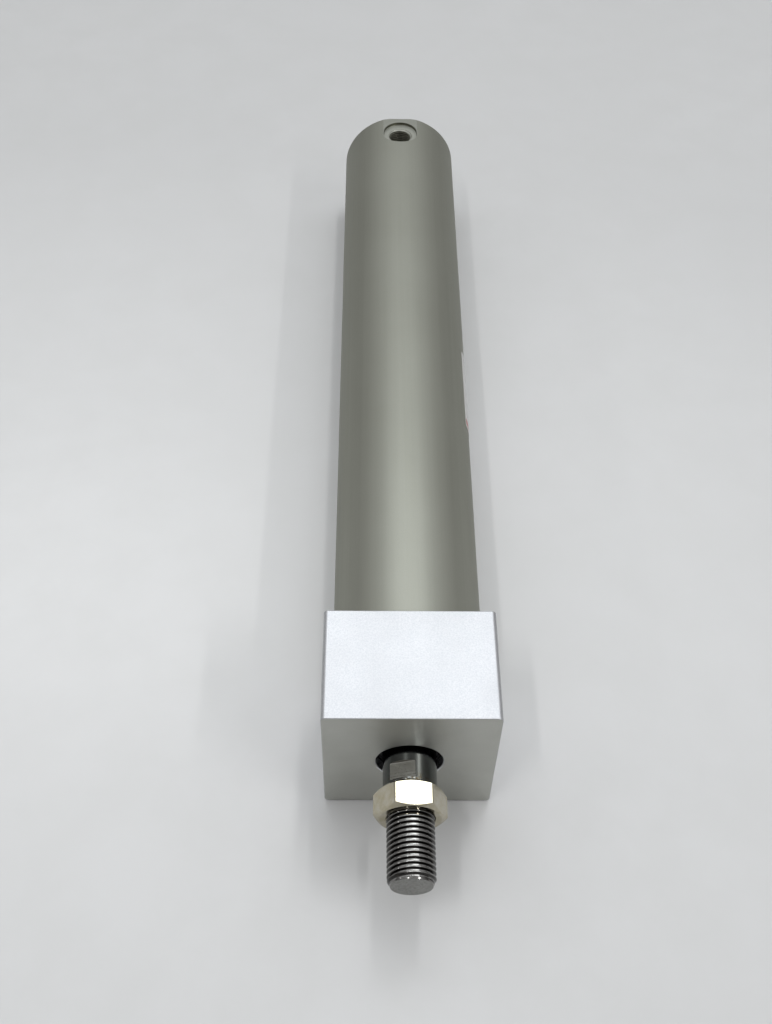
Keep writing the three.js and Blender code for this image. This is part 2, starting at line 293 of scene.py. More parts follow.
class Mat:
    """A Principled material with short ways to make its procedural inputs. Lengths are in millimetres."""

    def __init__(self, name, colour, metallic=0.0, roughness=0.5, **direct):
        self.m = bpy.data.materials.new(name)
        self.m.use_nodes = True
        self.nt = self.m.node_tree
        self.nt.nodes.clear()
        self.out = self.new("OutputMaterial")
        self.b = self.new("BsdfPrincipled")
        self.link(self.b.outputs[0], self.out.inputs[0])
        self.b.inputs["Base Color"].default_value = (*colour, 1)
        self.b.inputs["Metallic"].default_value = metallic
        self.b.inputs["Roughness"].default_value = roughness
        for k, v in direct.items():
            self.b.inputs[k.replace("_", " ")].default_value = v
        self.m.diffuse_color = (*colour, 1)
        coord = self.new("TexCoord").outputs["Object"]
        self.p = self.vec("SUBTRACT", coord, (0, 0, AZ))

    def new(self, kind):
        return self.nt.nodes.new("ShaderNode" + kind)

    def link(self, a, b):
        self.nt.links.new(a, b)

    def put(self, value, socket):
        if isinstance(value, bpy.types.NodeSocket):
            self.link(value, socket)
        else:
            socket.default_value = value

    def vec(self, op, a, b=None):
        n = self.new("VectorMath")
        n.operation = op
        self.put(a, n.inputs[0])
        if b is not None:
            self.put(b, n.inputs[1])
        return n.outputs["Value"] if op in ("LENGTH", "DOT_PRODUCT") else n.outputs[0]

    def math(self, op, a, b=None, clamp=False):
        n = self.new("Math")
        n.operation, n.use_clamp = op, clamp
        self.put(a, n.inputs[0])
        if b is not None:
            self.put(b, n.inputs[1])
        return n.outputs[0]

    def noise(self, size, detail=3.0, rough=0.55, distortion=0.0, at=None):
        """Noise whose features are size mm along each axis."""
        size = size if isinstance(size, (tuple, list)) else (size,) * 3
        v = self.vec("MULTIPLY", at or self.p, tuple(1000.0 / s for s in size))
        n = self.new("TexNoise")
        self.link(v, n.inputs["Vector"])
        n.inputs["Scale"].default_value = 1.0
        n.inputs["Detail"].default_value = detail
        n.inputs["Roughness"].default_value = rough
        n.inputs["Distortion"].default_value = distortion
        return n.outputs[0]

    def lines(self, value, size, detail=2.0, rough=0.6):
        """Random lines across a one-dimensional value in metres."""
        n = self.new("TexNoise")
        n.noise_dimensions = "1D"
        self.link(self.math("MULTIPLY", value, 1000.0 / size), n.inputs["W"])
        n.inputs["Scale"].default_value = 1.0
        n.inputs["Detail"].default_value = detail
        n.inputs["Roughness"].default_value = rough
        return n.outputs[0]

    def radius(self, centre=(0, 0, 0), flat=(1, 0, 1)):
        return self.vec("LENGTH", self.vec("MULTIPLY", self.vec("SUBTRACT", self.p, centre), flat))

    def axis(self, i):
        n = self.new("SeparateXYZ")
        self.link(self.p, n.inputs[0])
        return n.outputs[i]

    def ramp(self, value, *stops):
        n = self.new("ValToRGB")
        self.link(value, n.inputs[0])
        e = n.color_ramp.elements
        while len(e) < len(stops):
            e.new(0.5)
        for el, (at, c) in zip(e, stops):
            el.position = at
            el.color = (c, c, c, 1) if isinstance(c, (int, float)) else (*c, 1)
        return n.outputs[0]

    def span(self, value, a, b, lo, hi):
        n = self.new("MapRange")
        n.clamp = True
        self.put(value, n.inputs[0])
        for i, x in enumerate((a, b, lo, hi)):
            n.inputs[1 + i].default_value = x
        return n.outputs[0]

    def mix(self, fac, a, b, how="MIX"):
        n = self.new("Mix")
        n.data_type, n.blend_type = "RGBA", how
        self.put(fac, n.inputs[0])
        for x, i in ((a, 6), (b, 7)):
            self.put((*x, 1) if isinstance(x, tuple) else x, n.inputs[i])
        return n.outputs[2]

    def colour(self, socket):
        self.link(socket, self.b.inputs["Base Color"])

    def rough(self, socket):
        self.link(socket, self.b.inputs["Roughness"])

    def bump(self, height, depth_mm, strength=1.0, after=None):
        n = self.new("Bump")
        n.inputs["Strength"].default_value = strength
        n.inputs["Distance"].default_value = depth_mm / 1000
        self.link(height, n.inputs["Height"])
        if after is not None:
            self.link(after, n.inputs["Normal"])
        self.link(n.outputs[0], self.b.inputs["Normal"])
        return n.outputs[0]


def anodised_tube():
    m = Mat("anodised_tube", (0.29, 0.294, 0.262), 0.85, 0.40)
    x, y, z = m.axis(0), m.axis(1), m.axis(2)
    around = m.math("MULTIPLY", m.math("ARCTAN2", x, z), 0.0235)
    n = m.new("CombineXYZ")
    m.link(around, n.inputs[0])
    m.link(y, n.inputs[1])
    draw = m.noise((0.35, 90, 1), 3.0, 0.6, at=n.outputs[0])
    wide = m.noise((2.5, 260, 1), 2.0, 0.5, at=n.outputs[0])
    cloud = m.noise(38, 3.0, 0.5)
    grain = m.noise(0.16, 2.0, 0.7)
    c = m.mix(m.span(cloud, 0.3, 0.7, 0, 1), (0.286, 0.288, 0.248), (0.311, 0.313, 0.272))
    c = m.mix(m.span(wide, 0.35, 0.65, 0, 0.35), c, (0.326, 0.328, 0.287))
    c = m.mix(m.span(grain, 0.35, 0.65, 0.0, 0.22), c, (0.230, 0.233, 0.200))
    m.colour(c)
    m.rough(m.span(m.math("ADD", draw, m.math("MULTIPLY", grain, 0.6)), 0.5, 1.1, 0.38, 0.47))
    m.b.inputs["Specular Tint"].default_value = (0.62, 0.62, 0.60, 1)
    b = m.bump(grain, 0.004, 0.5)
    m.bump(draw, 0.004, 0.35, b)
    return m.m


def turned_anodised():
    """The barrel's rear face and chamfers, turned and then anodised."""
    m = Mat("turned_anodised", (0.26, 0.264, 0.228), 0.6, 0.36)
    rings = m.lines(m.radius(), 0.22, 3.0, 0.65)
    grain = m.noise(0.2, 2.0, 0.6)
    c = m.mix(m.span(rings, 0.3, 0.7, 0, 1), (0.225, 0.229, 0.198), (0.290, 0.294, 0.258))
    c = m.mix(m.span(grain, 0.4, 0.7, 0, 0.2), c, (0.19, 0.19, 0.17))
    m.colour(c)
    m.rough(m.span(rings, 0.3, 0.7, 0.30, 0.42))
    m.bump(rings, 0.010, 0.5)
    return m.m


def milled_anodised(centre, flat, name="milled_anodised", lift=1.0):
    """A spot face or milled flat, with the cutter's circular marks about its centre. lift scales all its colours up,
    which the spot face's floor uses as painted light.
    """
    def lit(*c):
        return tuple(v * lift for v in c)

    m = Mat(name, lit(0.26, 0.264, 0.23), 0.6, 0.38)
    rings = m.lines(m.radius(centre, flat), 0.30, 3.0, 0.6)
    grain = m.noise(0.18, 2.0, 0.6)
    c = m.mix(m.span(rings, 0.3, 0.7, 0, 1), lit(0.240, 0.244, 0.212), lit(0.300, 0.304, 0.268))
    c = m.mix(m.span(grain, 0.4, 0.7, 0, 0.2), c, lit(0.20, 0.20, 0.18))
    m.colour(c)
    m.rough(m.span(rings, 0.3, 0.7, 0.33, 0.45))
    m.bump(rings, 0.008, 0.5)
    return m.m


def satin_cover(name="satin_cover", lift=1.0):
    m = Mat(name, (0.56, 0.57, 0.60), 0.92, 0.38)
    speck = m.noise(0.42, 3.0, 0.75)
    fine = m.noise(0.15, 1.0, 0.5)
    cloud = m.noise(14, 3.0, 0.55)
    drawn = m.noise((0.5, 40, 0.5), 2.0, 0.5)
    c = m.mix(m.span(speck, 0.36, 0.64, 0, 1), (0.388, 0.393, 0.412), (0.530, 0.532, 0.540))
    c = m.mix(m.span(cloud, 0.3, 0.7, 0, 0.30), c, (0.468, 0.471, 0.485))
    c = m.mix(m.span(drawn, 0.4, 0.7, 0, 0.12), c, (0.535, 0.536, 0.54))
    m.colour(c)
    m.rough(m.span(m.math("ADD", speck, m.math("MULTIPLY", cloud, 0.5)), 0.5, 1.0, 0.31, 0.41))
    b = m.bump(speck, 0.010, 0.55)
    m.bump(fine, 0.004, 0.5, b)
    return m.m


def faced_cover():
    """The cover's sawn and faced front and rear, a little duller than its drawn sides."""
    m = Mat("faced_cover", (0.50, 0.505, 0.48), 0.9, 0.36)
    arcs = m.lines(m.radius((0.0, 0, -0.060)), 0.5, 3.0, 0.6)
    grain = m.noise(0.25, 3.0, 0.7)
    cloud = m.noise(11, 3.0, 0.55)
    c = m.mix(m.span(cloud, 0.3, 0.7, 0, 1), (0.475, 0.480, 0.445), (0.535, 0.540, 0.505))
    c = m.mix(m.span(grain, 0.35, 0.65, 0, 0.45), c, (0.43, 0.435, 0.40))
    m.colour(c)
    m.rough(m.span(m.math("ADD", arcs, m.math("MULTIPLY", grain, 0.7)), 0.5, 1.2, 0.40, 0.49))
    b = m.bump(arcs, 0.004, 0.4)
    m.bump(grain, 0.005, 0.5, b)
    return m.m


def bored_cover():
    """Bores, ports and threads in the cover: freshly turned aluminium."""
    m = Mat("bored_cover", (0.62, 0.63, 0.64), 1.0, 0.30)
    rings = m.lines(m.axis(1), 0.18, 2.0, 0.6)
    grain = m.noise(0.3, 2.0, 0.6)
    m.colour(m.mix(m.span(rings, 0.3, 0.7, 0, 1), (0.55, 0.56, 0.57), (0.70, 0.71, 0.72)))
    m.rough(m.span(grain, 0.3, 0.7, 0.24, 0.38))
    m.bump(rings, 0.008, 0.4)
    return m.m


# The rear port's threaded hole, also used on the spot face's walls: a dark colour that is painted shade for their
# depth.
def port_painted_shade(name="port_painted_shade"):
    m = Mat(name, (0.15, 0.15, 0.12), 0.9, 0.34)
    grain = m.noise(0.3, 3.0, 0.6)
    m.colour(m.mix(m.span(grain, 0.3, 0.7, 0, 1), (0.10, 0.10, 0.075), (0.17, 0.17, 0.135)))
    m.rough(m.span(grain, 0.3, 0.7, 0.28, 0.45))
    m.bump(grain, 0.01, 0.4)
    return m.m


def chromed_rod():
    """Hard chrome, mirror bright and so mostly dark, with some brown grime by the nut."""
    m = Mat("chromed_rod", (0.20, 0.202, 0.198), 1.0, 0.10)
    rings = m.lines(m.axis(1), 0.10, 3.0, 0.6)
    smear = m.noise((3, 9, 3), 3.0, 0.55)
    spots = m.noise(0.9, 3.0, 0.65)
    c = m.mix(m.span(smear, 0.3, 0.7, 0, 1), (0.118, 0.124, 0.122), (0.165, 0.171, 0.170))
    near_nut = m.span(m.axis(1), Y0 - 0.0068, Y0 - 0.0092, 0, 1)
    grime = m.math("MULTIPLY", near_nut, m.span(spots, 0.48, 0.60, 0, 0.8))
    m.colour(m.mix(grime, c, (0.10, 0.075, 0.035)))
    base = m.span(m.math("ADD", rings, m.math("MULTIPLY", smear, 0.8)), 0.6, 1.2, 0.05, 0.11)
    m.rough(m.math("ADD", base, m.math("MULTIPLY", grime, 0.3)))
    m.bump(rings, 0.0010, 0.3)
    return m.m


def milled_flat():
    """The rod's wrench flats, milled through the chrome."""
    m = Mat("milled_flat", (0.36, 0.355, 0.33), 1.0, 0.30)
    cut = m.lines(m.axis(1), 0.45, 2.0, 0.5)
    grain = m.noise(0.6, 3.0, 0.6)
    cloud = m.noise(3.0, 2.0, 0.5)
    c = m.mix(m.span(cut, 0.3, 0.7, 0, 1), (0.33, 0.325, 0.30), (0.38, 0.372, 0.345))
    m.colour(m.mix(m.span(cloud, 0.35, 0.7, 0, 0.6), c, (0.27, 0.262, 0.235)))
    m.rough(m.span(m.math("ADD", cut, grain), 0.7, 1.3, 0.26, 0.36))
    m.bump(cut, 0.004, 0.4)
    return m.m


def rod_thread(root=0.00612, crest=0.0070, name="rod_thread"):
    """Rolled thread with bright crests and roots, its flanks given a much darker colour as painted shade, and random
    dark smears.
    """
    m = Mat(name, (0.3, 0.295, 0.285), 1.0, 0.17)
    r = m.radius()
    grain = m.noise(0.35, 3.0, 0.6)
    smear = m.noise((1.2, 5, 1.2), 3.0, 0.6)
    # Flanks far darker than crests and roots: painted shade.
    flank_shade = m.ramp(m.span(r, root, crest, 0, 1), (0, 0.24), (0.06, 0.20), (0.16, 0.035), (0.82, 0.035), (0.94, 0.17), (1, 0.24))
    c = m.mix(m.span(smear, 0.45, 0.7, 0, 0.45), flank_shade, (0.075, 0.066, 0.055))
    m.colour(m.mix(1.0, c, (1.0, 0.975, 0.945), "MULTIPLY"))
    m.rough(m.span(m.math("ADD", grain, smear), 0.7, 1.3, 0.10, 0.20))
    m.bump(grain, 0.004, 0.3)
    return m.m


def rod_end():
    """The rod's faced-off ends and shoulders."""
    m = Mat("rod_end", (0.23, 0.23, 0.22), 1.0, 0.30)
    rings = m.lines(m.radius(), 0.16, 3.0, 0.65)
    grain = m.noise(0.7, 3.0, 0.6)
    c = m.mix(m.span(rings, 0.3, 0.7, 0, 1), (0.200, 0.200, 0.188), (0.275, 0.275, 0.260))
    c = m.mix(m.span(grain, 0.42, 0.62, 0, 0.6), c, (0.145, 0.143, 0.132))
    m.colour(c)
    m.rough(m.span(m.math("ADD", rings, grain), 0.7, 1.3, 0.24, 0.38))
    m.bump(rings, 0.006, 0.4)
    return m.m


def nickel_nut():
    m = Mat("nickel_nut", (0.44, 0.42, 0.355), 1.0, 0.22)
    cloud = m.noise(2.4, 4.0, 0.6)
    fine = m.noise(0.35, 3.0, 0.6)
    drawn = m.noise((0.4, 6, 0.4), 3.0, 0.6)
    c = m.mix(m.span(cloud, 0.3, 0.7, 0, 1), (0.385, 0.345, 0.235), (0.500, 0.470, 0.392))
    c = m.mix(m.span(fine, 0.5, 0.75, 0, 0.35), c, (0.31, 0.265, 0.175))
    m.colour(c)
    m.rough(m.span(m.math("ADD", cloud, fine), 0.7, 1.3, 0.13, 0.24))
    b = m.bump(drawn, 0.003, 0.3)
    m.bump(fine, 0.002, 0.4, b)
    return m.m


def steel(name="inner_steel", colour=(0.42, 0.42, 0.43)):
    m = Mat(name, colour, 1.0, 0.32)
    rings = m.lines(m.radius(), 0.2, 3.0, 0.6)
    cloud = m.noise(4, 3.0, 0.6)
    dark = tuple(0.8 * c for c in colour)
    lit = tuple(1.12 * c for c in colour)
    m.colour(m.mix(m.span(cloud, 0.3, 0.7, 0, 1), dark, lit))
    m.rough(m.span(m.math("ADD", rings, cloud), 0.7, 1.3, 0.26, 0.42))
    m.bump(rings, 0.006, 0.4)
    return m.m


def turned_aluminium():
    m = Mat("turned_aluminium", (0.72, 0.72, 0.71), 1.0, 0.28)
    rings = m.lines(m.math("ADD", m.axis(1), m.radius()), 0.14, 3.0, 0.6)
    cloud = m.noise(5, 3.0, 0.6)
    m.colour(m.mix(m.span(cloud, 0.3, 0.7, 0, 1), (0.66, 0.66, 0.65), (0.77, 0.77, 0.76)))
    m.rough(m.span(m.math("ADD", rings, cloud), 0.7, 1.3, 0.22, 0.36))
    m.bump(rings, 0.008, 0.5)
    return m.m


def bronze():
    m = Mat("sintered_bronze", (0.55, 0.36, 0.19), 1.0, 0.42)
    pore = m.noise(0.25, 2.0, 0.8)
    cloud = m.noise(4, 3.0, 0.6)
    c = m.mix(m.span(cloud, 0.3, 0.7, 0, 1), (0.50, 0.33, 0.17), (0.62, 0.42, 0.23))
    c = m.mix(m.span(pore, 0.55, 0.68, 0, 0.8), c, (0.16, 0.10, 0.06))
    m.colour(c)
    m.rough(m.span(pore, 0.4, 0.7, 0.36, 0.6))
    m.bump(pore, 0.02, 0.6)
    return m.m


def rubber(name="seal_rubber", colour=(0.022, 0.022, 0.024)):
    m = Mat(name, colour, 0.0, 0.55)
    fine = m.noise(0.2, 3.0, 0.6)
    cloud = m.noise(2.5, 3.0, 0.6)
    lit = tuple(1.7 * c for c in colour)
    m.colour(m.mix(m.span(cloud, 0.3, 0.7, 0, 1), colour, lit))
    m.rough(m.span(m.math("ADD", fine, cloud), 0.7, 1.3, 0.45, 0.68))
    m.bump(fine, 0.012, 0.5)
    return m.m


def plastic(name, colour):
    m = Mat(name, colour, 0.0, 0.5)
    fibre = m.noise((0.2, 1.4, 0.2), 3.0, 0.6)
    cloud = m.noise(3, 3.0, 0.6)
    m.colour(m.mix(m.span(fibre, 0.35, 0.65, 0, 1), colour, tuple(1.6 * c for c in colour)))
    m.rough(m.span(m.math("ADD", fibre, cloud), 0.7, 1.3, 0.42, 0.6))
    m.bump(fibre, 0.01, 0.4)
    return m.m


LABEL_0, LABEL_1 = depth_of(label_lo[1]), depth_of(label_hi[1])
LABEL_LOW, LABEL_HIGH = -35.0, 21.0


def label_film():
    """Film whose white is dulled to grey as painted shade, with a red stripe across its front end and thin ruled lines,
    all blank.
    """
    # Grey where the film is white: painted shade.
    m = Mat("label_film", (0.54, 0.54, 0.53), 0.0, 0.45)
    y = m.math("MULTIPLY", m.math("SUBTRACT", m.axis(1), Y0 + LABEL_0 / 1000), 1000)
    around = m.math("MULTIPLY", m.math("ARCTAN2", m.axis(2), m.axis(0)), 23.5)
    cloud = m.noise(6, 3.0, 0.6)
    fine = m.noise(0.25, 2.0, 0.6)
    c = m.mix(m.span(cloud, 0.3, 0.7, 0, 1), (0.50, 0.50, 0.49), (0.56, 0.56, 0.55))

    def band(value, a, b, soft=0.06):
        up = m.span(value, a - soft, a + soft, 0, 1)
        down = m.span(value, b - soft, b + soft, 1, 0)
        return m.math("MULTIPLY", up, down)

    hi = math.radians(LABEL_HIGH) * 23.5
    lo = math.radians(LABEL_LOW) * 23.5
    red = m.math("MULTIPLY", band(y, 1.3, 3.9), band(around, lo + 1.0, hi - 0.5))
    c = m.mix(red, c, (0.36, 0.07, 0.06))
    inside = m.math("MULTIPLY", band(y, 7.0, 36.5), band(around, lo + 1.2, hi - 1.2))
    rules = None
    for at in (-11.0, -7.4, -3.8, -0.2, 3.4):
        line = band(around, at, at + 0.22, 0.05)
        rules = line if rules is None else m.math("MAXIMUM", rules, line)
    for at in (7.0, 17.0, 36.1):
        rules = m.math("MAXIMUM", rules, band(y, at, at + 0.25, 0.05))
    c = m.mix(m.math("MULTIPLY", m.math("MULTIPLY", rules, inside), 0.8), c, (0.16, 0.16, 0.17))
    m.colour(c)
    m.rough(m.span(m.math("ADD", cloud, fine), 0.7, 1.3, 0.33, 0.46))
    m.bump(fine, 0.003, 0.3)
    return m.m


def floor_paper():
    m = Mat("stage_floor", (0.74, 0.74, 0.74), 0.0, 0.5)
    m.b.inputs["Specular IOR Level"].default_value = 0.25
    cloud = m.noise(160, 3.0, 0.5)
    fine = m.noise(0.7, 2.0, 0.6)
    c = m.mix(m.span(cloud, 0.3, 0.7, 0, 1), (0.695, 0.695, 0.695), (0.710, 0.710, 0.710))
    marks = m.noise(24, 4.0, 0.6)
    c = m.mix(m.span(marks, 0.36, 0.64, 0, 1), c, (0.688, 0.688, 0.686))
    # Floor colour painted lighter in a pool left of the part and darker further out: a painted pool of light and
    # painted falloff, on top of the lamps.
    out = m.radius((-0.11, 0.04, 0), (1, 1.7, 0))
    painted_light_pool = m.ramp(m.span(out, 0.0, 0.45, 0, 1), (0, 0.995), (0.13, 0.98), (0.30, 0.93), (0.50, 0.885), (1, 0.78))
    painted_falloff = m.ramp(m.span(out, 0.45, 6.0, 0, 1), (0, 1.0), (0.15, 0.92), (0.5, 0.72), (1, 0.50))
    m.colour(m.mix(1.0, m.mix(1.0, c, painted_light_pool, "MULTIPLY"), painted_falloff, "MULTIPLY"))
    m.rough(m.span(fine, 0.3, 0.7, 0.45, 0.6))
    return m.m


def dress(o, body, node, slot, *mats):
    for mat in mats:
        o.data.materials.append(mat)
    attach(o, body)
    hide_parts(node)
    return o


def paint(o, rule):
    """Gives each face the material index that rule(centre, normal) returns, in millimetres about the axis."""
    for f in o.data.polygons:
        c = f.center
        f.material_index = rule(Vector((c.x * 1000, (c.y - Y0) * 1000, (c.z - AZ) * 1000)), f.normal)


# -------------------------------------------------------------------- barrel

M_TUBE = anodised_tube()
M_TURNED = turned_anodised()
M_RUBBER = rubber()
M_STEEL = steel()
M_PORT_SHADE = port_painted_shade()

FLAT_R, SPOT_R = 22.35, 21.2     # radii at which the flat and the spot face lie
SPOT_RUN = 1.3                   # how far the spot face runs on towards the rear end
SPOT_D, FLAT_W = 14.1, 14.5


def port_cutter(name, top, floor, bottom, passage_to, place, spot_d=SPOT_D):
    """Cutting tool for a pipe port, its local +Y pointing out of the part: spot face, countersink, thread and passage."""
    bm = bmesh.new()
    s = spot_d / 2
    lathe(bm, rounded([(0, top), (s, top), (s, floor, 0.25), (0, floor)], 4))
    spot = obj_from(name + "_spot", bm, place)
    bm = bmesh.new()
    thread(
        bm, bottom, floor + 0.6, 0.907, 4.30, 4.86,
        limit=[(bottom, 4.2), (bottom + 0.8, 4.3), (bottom + 1.6, 4.9), (floor + 9, 9)],
        floor=[(bottom, 0), (floor - 0.75, 4.0), (floor, 5.0), (floor + 0.6, 5.0)],
        segs=96,
    )
    hole = obj_from(name + "_hole", bm, place)
    bm = bmesh.new()
    lathe(bm, [(0, bottom + 2), (2.5, bottom + 2), (2.5, passage_to), (0, passage_to)], 48)
    passage = obj_from(name + "_passage", bm, place)
    return spot, hole, passage


bm = bmesh.new()
profile = rounded(
    [
        (0, 287.8), (11.5, 287.8, 0.8), (11.5, 277.7, 0.4), (20, 277.7, 0.6), (20, 47.9),
        (21.4, 47.2), (21.4, 36.62), (TUBE_R - 0.35, 36.62, 0.15), (TUBE_R, 36.95, 0.15),
        (TUBE_R, BODY_END - 0.7, 0.25), (TUBE_R - 0.7, BODY_END, 0.25), (0, BODY_END),
    ],
    4,
)
near = [p for p in dense(profile, 8.0)]
extra = []
for a, b in zip(near, near[1:]):
    extra.append(a)
    if abs(a[0] - TUBE_R) < 1e-3 and abs(b[0] - TUBE_R) < 1e-3 and b[1] > 270:
        k = max(1, int((b[1] - a[1]) / 1.5))
        extra += [(TUBE_R, a[1] + (b[1] - a[1]) * j / k) for j in range(1, k)]
extra.append(near[-1])
lathe(bm, extra, 160)
barrel = obj_from("barrel_tube_fine", bm)

bm = bmesh.new()
outline = [(FLAT_W / 2, 30), (-FLAT_W / 2, 30)]
for i in range(33):
    a = math.pi + math.pi * i / 32
    outline.append((FLAT_W / 2 * math.cos(a), FLAT_W / 2 * math.sin(a)))
low = [bm.verts.new((x, y + REAR_PORT, FLAT_R)) for x, y in outline]
top = [bm.verts.new((x, y + REAR_PORT, FLAT_R + 6)) for x, y in outline]
bm.faces.new(low)
bm.faces.new(top[::-1])
for i in range(len(outline)):
    j = (i + 1) % len(outline)
    bm.faces.new((low[i], low[j], top[j], top[i]))
boolean(barrel, obj_from("flat_cutter", bm))
bm = bmesh.new()
rows = []
for r, h in rounded([(SPOT_D / 2, FLAT_R + 6), (SPOT_D / 2, SPOT_R, 0.25), (SPOT_D / 2 - 2, SPOT_R)], 4):
    ends = [(math.pi + math.pi * i / 40, 0) for i in range(41)] + [(math.pi * i / 40, SPOT_RUN) for i in range(41)]
    rows.append([bm.verts.new((r * math.cos(a), REAR_PORT + run + r * math.sin(a), h)) for a, run in ends])
for a, b in zip(rows, rows[1:]):
    for i in range(len(a)):
        j = (i + 1) % len(a)
        bm.faces.new((a[i], a[j], b[j], b[i]))
bm.faces.new(rows[0])
bm.faces.new(rows[-1][::-1])
boolean(barrel, obj_from("rear_spot", bm))
round_spot, *tools = port_cutter("rear", TUBE_R + 4, SPOT_R, 12.7, 9.0, upright(REAR_PORT))
bpy.data.objects.remove(round_spot)
for tool in tools:
    boolean(barrel, tool)
bevelled(barrel, 0.10, 40, 2)
weighted(finished(barrel))
PORT_C = ((0, REAR_PORT / 1000 + Y0, 0), (1, 1, 0))
# The spot face's floor uses the milled finish with its colours lifted 1.2 times: painted light.
dress(barrel, "barrel", "barrel_tube", "anodised_tube", M_TUBE, M_TURNED, milled_anodised(*PORT_C), M_PORT_SHADE, milled_anodised(*PORT_C, "spot_face_painted_light", 1.2))


def barrel_rule(c, n):
    out = math.hypot(c.x, c.z)
    from_port = math.hypot(c.x, c.y - REAR_PORT)
    # The port's hole takes the dark port colour, which is painted shade. The countersink's upward faces take the spot
    # face's painted-light copy.
    if c.z > 12 and from_port < 5.2 and c.z < SPOT_R - 0.05:
        return 4 if c.z > SPOT_R - 0.7 and n.z > 0.4 else 3
    along = c.y - REAR_PORT
    from_slot = math.hypot(c.x, along - min(max(along, 0), SPOT_RUN))
    # The spot face's floor takes the painted-light copy of the milled finish. Its walls take the dark port colour,
    # which is painted shade.
    if c.z > SPOT_R - 0.1 and from_slot < SPOT_D / 2 + 0.03 and c.z < FLAT_R - 0.05:
        return 4 if n.z > 0.9 else 3
    if c.z > 20 and abs(c.z - FLAT_R) < 0.06 and abs(c.x) < 7.3 and c.y > REAR_PORT - 8 and n.z > 0.9:
        return 2
    if c.y > BODY_END - 0.75 or (c.y < 37.0 and abs(n.y) > 0.2):
        return 1
    if out < TUBE_R - 0.8 and c.z < 20:
        return 1
    return 0


paint(barrel, barrel_rule)

# ----------------------------------------------------------------- rod cover

bm = bmesh.new()
edge_r, half = 1.4, COVER_W / 2


def square(inset, y):
    w, r = half - inset, max(edge_r - inset, 0.3)
    pts = []
    for sx, sz, a0 in ((1, 1, 0), (-1, 1, 90), (-1, -1, 180), (1, -1, 270)):
        for k in range(9):
            a = math.radians(a0 + 90 * k / 8)
            pts.append(bm.verts.new((sx * (w - r) + r * math.cos(a), y, sz * (w - r) + r * math.sin(a))))
    return pts


C = 0.28
rows = [
    square(C, 0), square(C * 0.5, C * 0.12), square(C * 0.12, C * 0.5), square(0, C),
    square(0, COVER_L - C), square(C * 0.12, COVER_L - C * 0.5), square(C * 0.5, COVER_L - C * 0.12), square(C, COVER_L),
]
for a, b in zip(rows, rows[1:]):
    for i in range(len(a)):
        j = (i + 1) % len(a)
        bm.faces.new((a[i], a[j], b[j], b[i]))
bm.faces.new(rows[0])
bm.faces.new(rows[-1][::-1])
cover = obj_from("rod_cover_fine", bm)

bm = bmesh.new()
lathe(
    bm,
    rounded(
        [
            (0, COVER_L - 4), (21, COVER_L - 4), (21, COVER_L + 6.5, 0.15), (19.2, COVER_L + 6.5, 0.25),
            (19.2, COVER_L + 9.1, 0.25), (21, COVER_L + 9.1, 0.15), (21, COVER_L + 9.6, 0.1),
            (20.6, COVER_L + 10, 0.1), (0, COVER_L + 10),
        ],
        3,
    ),
)
boolean(cover, obj_from("spigot", bm), "UNION")
bm = bmesh.new()
lathe(
    bm,
    rounded(
        [
            (0, -2), (12.3, -2), (10.0, 0.3, 0.2), (10.0, 3.5, 0.15), (12, 3.5, 0.2), (12, 24.1, 0.1),
            (12.9, 24.1, 0.1), (12.9, 25.7, 0.1), (12, 25.7, 0.1), (12, COVER_L + 9.4, 0.1),
            (13, COVER_L + 10.4), (13, COVER_L + 13), (0, COVER_L + 13),
        ],
        4,
    ),
)
boolean(cover, obj_from("bore", bm))
for tool in port_cutter("front", half + 3, half - 0.8, half - 9, 10.0, sideways(FRONT_PORT)):
    boolean(cover, tool)
for sx in (-18, 18):
    for sy in (-12, 12):
        bm = bmesh.new()
        thread(
            bm, -12.2, 0.5, 1.0, 2.5, 3.0,
            limit=[(-12.2, 2.4), (-11.6, 2.5), (-10.8, 3.1), (0.5, 9)],
            floor=[(-12.2, 0), (-0.75, 2.4), (0, 3.25), (0.5, 3.25)],
            segs=48,
        )
        place = Matrix.Translation((sx, COVER_L / 2 + sy, -half)) @ Matrix.Rotation(math.radians(-90), 4, "X")
        boolean(cover, obj_from("tap", bm, place))
finished(cover)
weighted(cover)
M_COVER, M_FACED, M_BORED = satin_cover(), faced_cover(), bored_cover()
dress(cover, "barrel", "rod_cover", "machined_cover", M_COVER, M_FACED, M_BORED)


def cover_rule(c, n):
    out = math.hypot(c.x, c.z)
    if out < 13.2 and c.y > 0.02 and abs(c.x) < 13.2:
        return 2
    if c.y > COVER_L + 0.02:
        return 2
    if c.x > half - 10 and math.hypot(c.y - FRONT_PORT, c.z) < 7.2 and c.x < half - 0.02:
        return 2
    for sx in (-18, 18):
        for sy in (-12, 12):
            if c.z < -12 and math.hypot(c.x - sx, c.y - COVER_L / 2 - sy) < 3.2 and c.z > -half - 0.1 and abs(n.z) < 0.95:
                return 2
    if abs(n.y) > 0.8:
        return 1
    return 0


paint(cover, cover_rule)

# ----------------------------------------------------------------------- rod

